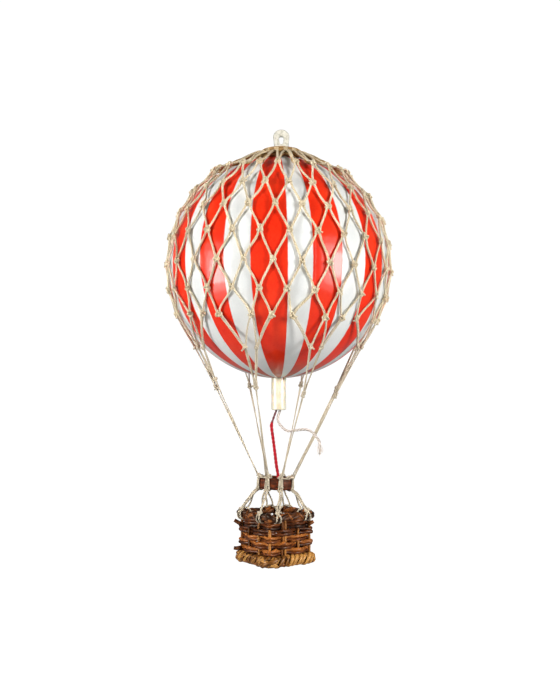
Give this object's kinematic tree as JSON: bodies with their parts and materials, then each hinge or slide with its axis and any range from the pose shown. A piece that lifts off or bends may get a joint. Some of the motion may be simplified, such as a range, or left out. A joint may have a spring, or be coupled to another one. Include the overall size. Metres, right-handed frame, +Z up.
{
  "type": "hanging hot air balloon model",
  "caption": "Hanging ornament: a glossy striped ball in a knotted twine net, with a load ring and a square wicker basket below it, hung from a clear loop.",
  "frame": {"origin": "the point that the model hangs from, at the top of the hole in its clear hanging loop", "axes": "+Z is up, along the model's height; X and Y run along the basket's sides, and the basket corner between -X and -Y is at the front"},
  "size_m": [0.0889, 0.0885, 0.1682],
  "materials": {
    "gore_paint": "glossy paint, red gores with white gores between them",
    "clear_plastic": "clear moulded plastic with a milky tint",
    "brown_twine": "matt twisted twine, browned by glue",
    "twine": "matt twisted natural twine",
    "ivory_plastic": "glossy ivory",
    "red_yarn": "matt twisted yarn",
    "white_yarn": "matt twisted yarn",
    "dark_rattan": "dark stained rattan, satin",
    "wicker": "stained wicker, satin",
    "splint": "wound splint, satin"
  },
  "bodies": {
    "root": {"envelope": "gore_paint", "hanging_loop": "clear_plastic", "crown_ring": "brown_twine", "net": "twine", "mouth_tube": "ivory_plastic", "red_cord": "red_yarn", "white_cord": "white_yarn", "load_ring": "dark_rattan", "suspension_line_1": "twine", "suspension_line_2": "twine", "suspension_line_3": "twine", "suspension_line_4": "twine", "suspension_line_5": "twine", "suspension_line_6": "twine", "suspension_line_7": "twine", "suspension_line_8": "twine", "basket_line_1": "twine", "basket_line_2": "twine", "basket_line_3": "twine", "basket_line_4": "twine", "basket_line_5": "twine", "basket_line_6": "twine", "basket_line_7": "twine", "basket_line_8": "twine", "basket_rim": "wicker", "basket_weaver_1": "wicker", "basket_weaver_2": "wicker", "basket_weaver_3": "wicker", "basket_weaver_4": "wicker", "basket_weaver_5": "wicker", "basket_base": "splint"}
  },
  "joints": []
}
